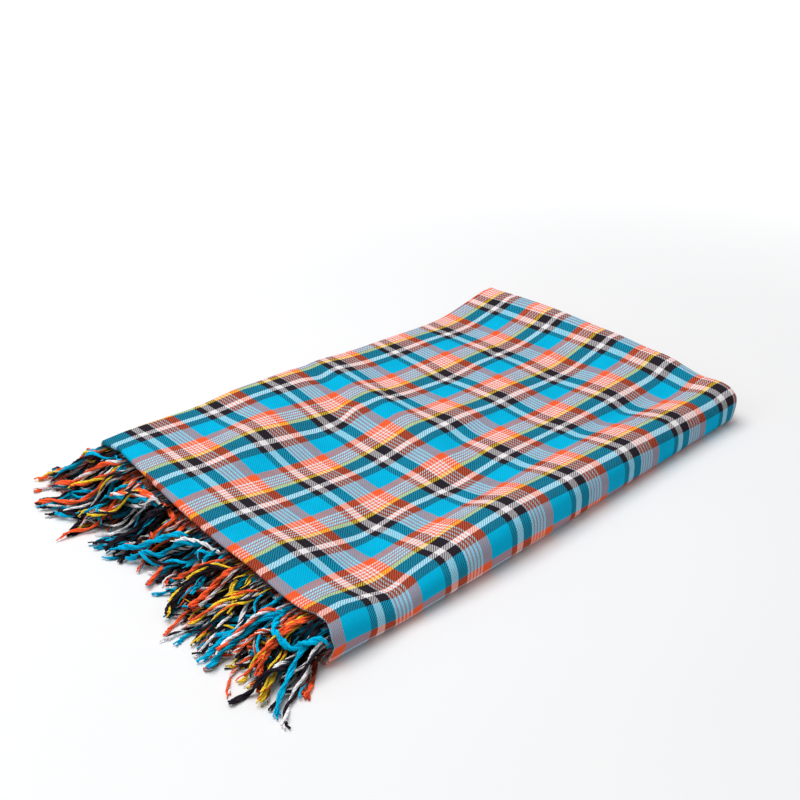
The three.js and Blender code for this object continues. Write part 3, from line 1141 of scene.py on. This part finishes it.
    def build(self, material: bpy.types.Material) -> dict[int, bpy.types.Object]:
        """Makes the fringe of both raw ends.

        Args:
            material: The yarn.

        Returns:
            The two objects, by the layer of their raw end.
        """
        parts = {3: MeshParts("fringe_of_first_end"), 2: MeshParts("fringe_of_second_end")}
        laid = [(strand, self.path(strand)) for strand in self.strands()]
        for strand, line in laid:
            self.twist(parts[strand.layer], strand, line)
        return {layer: own.build(material) for layer, own in parts.items()}


class Graph:
    """Writes the nodes of one shader tree."""

    def __init__(self, tree: bpy.types.NodeTree) -> None:
        """Starts on a tree.

        Args:
            tree: The tree.
        """
        self.tree = tree

    def node(self, kind: str, **settings: object) -> bpy.types.Node:
        """Adds a node.

        Args:
            kind: Its type.
            **settings: Its properties.

        Returns:
            The node.
        """
        made = self.tree.nodes.new(kind)
        for key, value in settings.items():
            setattr(made, key, value)
        return made

    def join(self, source: object, target: bpy.types.NodeSocket) -> None:
        """Links a socket or sets a constant.

        Args:
            source: An output socket or a value.
            target: The input socket.
        """
        if isinstance(source, bpy.types.NodeSocket):
            self.tree.links.new(source, target)
        else:
            target.default_value = source

    def math(self, operation: str, *values: object) -> bpy.types.NodeSocket:
        """Adds a sum of numbers.

        Args:
            operation: Its operation.
            *values: Sockets or numbers.

        Returns:
            The result.
        """
        made = self.node("ShaderNodeMath", operation=operation)
        for value, target in zip(values, made.inputs):
            self.join(value, target)
        return made.outputs[0]

    def mix(self, share: object, first: object, second: object, blend: str = "MIX") -> object:
        """Mixes two colours.

        Args:
            share: Share of the second.
            first: First colour.
            second: Second colour.
            blend: Way of mixing.

        Returns:
            The mixed colour's socket.
        """
        made = self.node("ShaderNodeMix", data_type="RGBA", blend_type=blend)
        self.join(share, made.inputs[0])
        self.join(first, made.inputs[6])
        self.join(second, made.inputs[7])
        return made.outputs[2]

    def lit(self, colour: object) -> bpy.types.NodeSocket:
        """Turns a colour in the mixing scale into one for a shader.

        Args:
            colour: The colour.

        Returns:
            The shader's colour.
        """
        made = self.node("ShaderNodeGamma")
        self.join(colour, made.inputs["Color"])
        made.inputs["Gamma"].default_value = MIXING_GAMMA
        return made.outputs[0]

    def noise(self, vector: object, scale: float, detail: float = 2.0) -> bpy.types.NodeSocket:
        """Adds a soft random value.

        Args:
            vector: Place.
            scale: Its fineness.
            detail: Its detail.

        Returns:
            The value's socket.
        """
        made = self.node("ShaderNodeTexNoise")
        self.join(vector, made.inputs["Vector"])
        made.inputs["Scale"].default_value = scale
        made.inputs["Detail"].default_value = detail
        return made.outputs["Fac"]

    def stretch(self, value: object, low: float, high: float) -> bpy.types.NodeSocket:
        """Moves a share from 0 to 1 to another range.

        Args:
            value: The share.
            low: Result at 0.
            high: Result at 1.

        Returns:
            The result's socket.
        """
        made = self.node("ShaderNodeMapRange")
        self.join(value, made.inputs["Value"])
        made.inputs["To Min"].default_value = low
        made.inputs["To Max"].default_value = high
        return made.outputs["Result"]


class EffectGroup:
    """A shader node group that is shared by materials."""

    def __init__(self, name: str, inputs: dict[str, str], outputs: dict[str, str]) -> None:
        """Starts the group with its sockets.

        Args:
            name: Name of the group.
            inputs: Socket types of its inputs by name.
            outputs: Socket types of its outputs by name.
        """
        self.tree = bpy.data.node_groups.new(name, "ShaderNodeTree")
        for title, kind in inputs.items():
            self.tree.interface.new_socket(title, in_out="INPUT", socket_type=kind)
        for title, kind in outputs.items():
            self.tree.interface.new_socket(title, in_out="OUTPUT", socket_type=kind)
        self.graph = Graph(self.tree)
        self.given = self.tree.nodes.new("NodeGroupInput").outputs
        self.result = self.tree.nodes.new("NodeGroupOutput").inputs

    def use(self, graph: Graph, **inputs: object) -> bpy.types.NodeOutputs:
        """Puts the group in a material.

        Args:
            graph: Graph of the material or of another group.
            **inputs: Sockets or constants by input name.

        Returns:
            The outputs of the group.
        """
        made = graph.node("ShaderNodeGroup", node_tree=self.tree)
        for title, value in inputs.items():
            graph.join(value, made.inputs[title])
        return made.outputs


FLOAT = "NodeSocketFloat"
COLOUR = "NodeSocketColor"
VECTOR = "NodeSocketVector"


def stripe_group(
    name: str, stripes: Sequence[Stripe], repeat: float, start: float, sign: int
) -> EffectGroup:
    """Makes the group that gives a stripe's colour at a place on the flat cloth.

    Args:
        name: Name of the group.
        stripes: The stripes of one repeat.
        repeat: Size of the repeat.
        start: Place where a repeat starts.
        sign: 1 where the stripes follow the place, -1 where they run against it.

    Returns:
        The group, with the input Place and the output Color.
    """
    group = EffectGroup(name, {"Place": FLOAT}, {"Color": COLOUR})
    graph = group.graph
    from_start = graph.math("SUBTRACT", group.given["Place"], start)
    share = graph.math("FRACT", graph.math("MULTIPLY", from_start, sign / repeat))
    ramp = graph.node("ShaderNodeValToRGB")
    ramp.color_ramp.interpolation = "CONSTANT"
    elements = ramp.color_ramp.elements
    elements.remove(elements[1])
    total = sum(stripe.share for stripe in stripes)
    place = 0.0
    for i, stripe in enumerate(stripes):
        element = elements[0] if i == 0 else elements.new(place)
        element.color = stripe.yarn.shares
        place += stripe.share / total
    graph.join(share, ramp.inputs[0])
    graph.join(ramp.outputs[0], group.result["Color"])
    return group


def twill_group() -> EffectGroup:
    """Makes the group of the two-by-two twill.

    Returns:
        The group, with the inputs Along and Across and the outputs Mask, which is 1 where a crosswise
        yarn is on top, Height and Shade, which is painted shade in the grooves between the ribs.
    """
    group = EffectGroup(
        "twill", {"Along": FLOAT, "Across": FLOAT}, {"Mask": FLOAT, "Height": FLOAT, "Shade": FLOAT}
    )
    graph = group.graph
    along = graph.math("DIVIDE", group.given["Along"], THREAD_PITCH)
    across = graph.math("DIVIDE", group.given["Across"], THREAD_PITCH)
    step = graph.math("SUBTRACT", graph.math("FLOOR", along), graph.math("FLOOR", across))
    phase = graph.math("FLOORED_MODULO", step, 4.0)
    mask = graph.math("GREATER_THAN", phase, 1.5)
    least, most = CROSSWISE_SHARE - RIB_CONTRAST, CROSSWISE_SHARE + RIB_CONTRAST
    graph.join(graph.stretch(mask, least, most), group.result["Mask"])
    diagonal = graph.math("SUBTRACT", along, across)
    rib = graph.math("SINE", graph.math("MULTIPLY", diagonal, math.pi / 2))
    height = graph.stretch(graph.math("MULTIPLY_ADD", rib, 0.5, 0.5), 0.0, 1.0)
    graph.join(height, group.result["Height"])
    # Painted shade: the colour is darkened to 0.86 in the grooves between the twill's ribs.
    graph.join(graph.stretch(height, 0.86, 1.0), group.result["Shade"])
    return group


def yarn_group() -> EffectGroup:
    """Makes the group of the small unevenness of dyed cotton.

    Returns:
        The group, with the inputs Color, Place and Amount and the outputs Color and Value.
    """
    group = EffectGroup(
        "uneven_yarn",
        {"Color": COLOUR, "Place": VECTOR, "Amount": FLOAT},
        {"Color": COLOUR, "Value": FLOAT},
    )
    graph = group.graph
    fine = graph.noise(group.given["Place"], 1.1, 3.0)
    broad = graph.noise(group.given["Place"], 0.06, 2.0)
    both = graph.math("MULTIPLY_ADD", broad, 0.5, graph.math("MULTIPLY", fine, 0.5))
    shade = graph.math("MULTIPLY_ADD", graph.math("SUBTRACT", both, 0.5), group.given["Amount"], 1.0)
    scaled = graph.node("ShaderNodeHueSaturation")
    graph.join(shade, scaled.inputs["Value"])
    graph.join(group.given["Color"], scaled.inputs["Color"])
    graph.join(scaled.outputs[0], group.result["Color"])
    graph.join(both, group.result["Value"])
    return group


@dataclass(frozen=True)
class Finish:
    """How a cotton surface takes the light.

    Attributes:
        roughness: Roughness.
        uneven: How much the colour varies.
        bump: Depth of its relief in metres.
        gloss: Specular level.
    """

    roughness: float
    uneven: float
    bump: float
    gloss: float


CLOTH_FINISH = Finish(roughness=0.95, uneven=0.3, bump=0.0002, gloss=0.06)
YARN_FINISH = Finish(roughness=0.95, uneven=0.8, bump=0.0004, gloss=0.06)


class Materials:
    """The materials of the cloth, its fringe and the floor."""

    def __init__(self) -> None:
        """Makes the shared groups."""
        self.lengthwise = stripe_group(
            "lengthwise_stripes", LENGTHWISE, REPEAT_LENGTHWISE, CROSSING_Y, -1
        )
        self.crosswise = stripe_group(
            "crosswise_stripes", CROSSWISE, REPEAT_CROSSWISE, CROSSING_X, 1
        )
        self.twill = twill_group()
        self.uneven = yarn_group()

    def start(self, name: str, finish: Finish) -> tuple[bpy.types.Material, Graph, bpy.types.Node]:
        """Starts a material with its shader.

        Args:
            name: Name of the material.
            finish: How it takes the light.

        Returns:
            The material, its graph and its shader node.
        """
        material = bpy.data.materials.new(name)
        material.use_nodes = True
        graph = Graph(material.node_tree)
        shader = material.node_tree.nodes["Principled BSDF"]
        shader.inputs["Roughness"].default_value = finish.roughness
        shader.inputs["Specular IOR Level"].default_value = finish.gloss
        log.info("material %s", name)
        return material, graph, shader

    def places(self, graph: Graph, layer: str) -> tuple[object, object, object]:
        """Reads a piece's own coordinates.

        Args:
            graph: Graph of the material.
            layer: Name of the coordinates.

        Returns:
            The whole vector and its first two numbers.
        """
        flat = graph.node("ShaderNodeUVMap", uv_map=layer)
        parts = graph.node("ShaderNodeSeparateXYZ")
        graph.join(flat.outputs[0], parts.inputs[0])
        return flat.outputs[0], parts.outputs[0], parts.outputs[1]

    def relief(self, graph: Graph, shader: bpy.types.Node, height: object, depth: float) -> None:
        """Gives a shader its relief.

        Args:
            graph: Graph of the material.
            shader: The shader.
            height: Height from 0 to 1.
            depth: Depth in metres.
        """
        bump = graph.node("ShaderNodeBump")
        bump.inputs["Distance"].default_value = depth
        bump.inputs["Strength"].default_value = 1.0
        graph.join(height, bump.inputs["Height"])
        graph.join(bump.outputs[0], shader.inputs["Normal"])

    def cloth(self) -> bpy.types.Material:
        """Makes the woven check.

        Returns:
            The material.
        """
        material, graph, shader = self.start("woven_check", CLOTH_FINISH)
        flat, along, across = self.places(graph, "FlatCloth")
        lengthwise = self.lengthwise.use(graph, Place=across)["Color"]
        crosswise = self.crosswise.use(graph, Place=along)["Color"]
        twill = self.twill.use(graph, Along=along, Across=across)
        woven = graph.mix(twill["Mask"], lengthwise, crosswise)
        uneven = self.uneven.use(graph, Color=woven, Place=flat, Amount=CLOTH_FINISH.uneven)
        # Painted shade of the twill's grooves is multiplied into the woven colour.
        shaded = graph.node("ShaderNodeHueSaturation")
        graph.join(twill["Shade"], shaded.inputs["Value"])
        graph.join(uneven["Color"], shaded.inputs["Color"])
        graph.join(graph.lit(shaded.outputs[0]), shader.inputs["Base Color"])
        height = graph.math("MULTIPLY_ADD", uneven["Value"], 1.6, twill["Height"])
        self.relief(graph, shader, height, CLOTH_FINISH.bump)
        return material

    def yarn(self) -> bpy.types.Material:
        """Makes the twisted yarn of the fringe, with painted shade on the yarns that lie deep in the
        heap.

        Returns:
            The material.
        """
        material, graph, shader = self.start("twisted_yarn", YARN_FINISH)
        flat, _, across = self.places(graph, "FlatCloth")
        _, painted_light_share, along = self.places(graph, "Yarn")
        colour = self.lengthwise.use(graph, Place=across)["Color"]
        uneven = self.uneven.use(graph, Color=colour, Place=flat, Amount=YARN_FINISH.uneven)
        # Painted shade and painted light: the colour is scaled from 0.13 for deeply buried yarns up to
        # 1.22 for open ones.
        painted_shade = graph.node("ShaderNodeHueSaturation")
        graph.join(graph.stretch(painted_light_share, 0.13, 1.22), painted_shade.inputs["Value"])
        graph.join(uneven["Color"], painted_shade.inputs["Color"])
        graph.join(graph.lit(painted_shade.outputs[0]), shader.inputs["Base Color"])
        fibres = graph.math("SINE", graph.math("MULTIPLY", along, 2 * math.pi))
        height = graph.math("MULTIPLY_ADD", uneven["Value"], 1.5, graph.math("MULTIPLY", fibres, 0.5))
        self.relief(graph, shader, height, YARN_FINISH.bump)
        return material

    def floor(self) -> bpy.types.Material:
        """Makes the white floor.

        Returns:
            The material.
        """
        material, graph, shader = self.start("white_floor", Finish(0.6, 0.0, 0.0, 0.2))
        place = graph.node("ShaderNodeTexCoord").outputs["Object"]
        value = graph.noise(place, 1.4, 2.0)
        tone = graph.mix(value, (0.84, 0.84, 0.845, 1), (0.87, 0.87, 0.875, 1))
        graph.join(tone, shader.inputs["Base Color"])
        distance = graph.node("ShaderNodeVectorMath")
        distance.operation = "LENGTH"
        graph.join(place, distance.inputs[0])
        far = graph.node("ShaderNodeMapRange")
        far.interpolation_type = "SMOOTHSTEP"
        far.inputs["From Min"].default_value = GLOW_START
        far.inputs["From Max"].default_value = GLOW_FULL
        graph.join(distance.outputs["Value"], far.inputs["Value"])
        glow = graph.mix(far.outputs["Result"], (0.0, 0.0, 0.0, 1), (1.0, 1.0, 1.0, 1))
        graph.join(glow, shader.inputs["Emission Color"])
        shader.inputs["Emission Strength"].default_value = 1.0
        return material


@dataclass(frozen=True)
class Lamp:
    """A soft light.

    Attributes:
        name: Its name.
        place: Where it stands, in metres.
        size: Its width and height, in metres.
        power: Its power in watts.
    """

    name: str
    place: tuple[float, float, float]
    size: tuple[float, float]
    power: float

    def build(self) -> None:
        """Makes the light, turned to the folded cloth."""
        data = bpy.data.lights.new(self.name, "AREA")
        data.shape = "RECTANGLE"
        data.size, data.size_y = self.size
        data.energy = self.power
        lamp = bpy.data.objects.new(self.name, data)
        lamp.location = self.place
        lamp.rotation_euler = (-Vector(self.place)).to_track_quat("-Z", "Y").to_euler()
        bpy.context.scene.collection.objects.link(lamp)
        log.info("light %s", self.name)


LAMPS = (
    Lamp("overhead", (-0.2, 0.6, 2.1), (1.6, 1.6), 40),
    Lamp("left_side", (-2.0, 0.3, 1.4), (1.2, 1.2), 6),
)


# Half of the floor's side, in metres, and the distances at which its glow starts and is full.
FLOOR_HALF = 12.0
GLOW_START = 0.35
GLOW_FULL = 1.9
# Strength of the surroundings as a light, and what is added where the camera sees them.
SURROUNDINGS = 0.42
BACKDROP_EXTRA = 0.58


@dataclass(frozen=True)
class PhotoCamera:
    """The photo's camera, as fitted to the crossings of the white stripes.

    Attributes:
        place: Where it stands, in metres.
        yaw: Its heading, in degrees from +Y towards +X.
        pitch: How far it looks down, in degrees.
        roll: Its turn about its line of sight, in degrees.
        focal: Its focal length in pixels.
        frame: Width of the photo in pixels.
        sensor: Width of its sensor in millimetres.
    """

    place: tuple[float, float, float] = (-0.6941, -0.6961, 0.5657)
    yaw: float = 43.46
    pitch: float = 27.79
    roll: float = 0.47
    focal: float = 1325.0
    frame: float = 800.0
    sensor: float = 36.0


class Studio:
    """The white floor, the light and the camera."""

    def floor(self, material: bpy.types.Material) -> bpy.types.Object:
        """Makes the floor.

        Args:
            material: The white floor's material.

        Returns:
            The floor's object.
        """
        half = FLOOR_HALF
        mesh = bpy.data.meshes.new("floor")
        corners = [(-half, -half, 0), (half, -half, 0), (half, half, 0), (-half, half, 0)]
        mesh.from_pydata(corners, [], [(0, 1, 2, 3)])
        mesh.materials.append(material)
        floor = bpy.data.objects.new("floor", mesh)
        bpy.context.scene.collection.objects.link(floor)
        log.info("floor")
        return floor

    def light(self) -> None:
        """Makes the lamps and the bright surroundings."""
        for lamp in LAMPS:
            lamp.build()
        world = bpy.data.worlds.new("surroundings")
        world.use_nodes = True
        world.node_tree.nodes["Background"].inputs["Color"].default_value = (0.98, 0.99, 1.0, 1)
        rays = world.node_tree.nodes.new("ShaderNodeLightPath")
        strength = world.node_tree.nodes.new("ShaderNodeMath")
        strength.operation = "MULTIPLY_ADD"
        strength.inputs[1].default_value = BACKDROP_EXTRA
        strength.inputs[2].default_value = SURROUNDINGS
        world.node_tree.links.new(rays.outputs["Is Camera Ray"], strength.inputs[0])
        backdrop = world.node_tree.nodes["Background"]
        world.node_tree.links.new(strength.outputs["Value"], backdrop.inputs["Strength"])
        bpy.context.scene.world = world

    def camera(self) -> None:
        """Makes the camera, as the photo was taken."""
        view = PhotoCamera()
        yaw, pitch, roll = (math.radians(angle) for angle in (view.yaw, view.pitch, view.roll))
        ahead = Vector(
            (
                math.sin(yaw) * math.cos(pitch),
                math.cos(yaw) * math.cos(pitch),
                -math.sin(pitch),
            )
        )
        level = Vector((math.cos(yaw), -math.sin(yaw), 0))
        upward = level.cross(ahead)
        right = math.cos(roll) * level + math.sin(roll) * upward
        above = -math.sin(roll) * level + math.cos(roll) * upward
        data = bpy.data.cameras.new("camera")
        data.sensor_width = view.sensor
        data.lens = view.sensor * view.focal / view.frame
        data.clip_start, data.clip_end = 0.01, 100
        camera = bpy.data.objects.new("camera", data)
        turn = Matrix((right, above, -ahead)).transposed().to_4x4()
        camera.matrix_world = Matrix.Translation(view.place) @ turn
        bpy.context.scene.collection.objects.link(camera)
        bpy.context.scene.camera = camera
        log.info("camera")


class Kikoy:
    """The folded cloth with its fringe."""

    def __init__(self, materials: Materials) -> None:
        """Makes the pieces.

        Args:
            materials: The materials.
        """
        self.cloth = FoldedCloth().build(materials.cloth())
        self.fringes = Fringe().build(materials.yarn())

    def declare(self) -> None:
        """Attaches the pieces to the root body and hides the CAD nodes that they stand for."""
        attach(self.cloth, "root")
        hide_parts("cloth")
        for layer, node in ((3, "fringe_first_end"), (2, "fringe_second_end")):
            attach(self.fringes[layer], "root")
            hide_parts(node)


def main() -> None:
    """Builds the scene."""
    logging.basicConfig(level=logging.INFO, format="%(name)s: %(message)s")
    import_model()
    materials = Materials()
    kikoy = Kikoy(materials)
    studio = Studio()
    floor = studio.floor(materials.floor())
    studio.light()
    studio.camera()
    bpy.context.scene.view_settings.view_transform = "Standard"
    kikoy.declare()


if __name__ == "__main__":
    main()
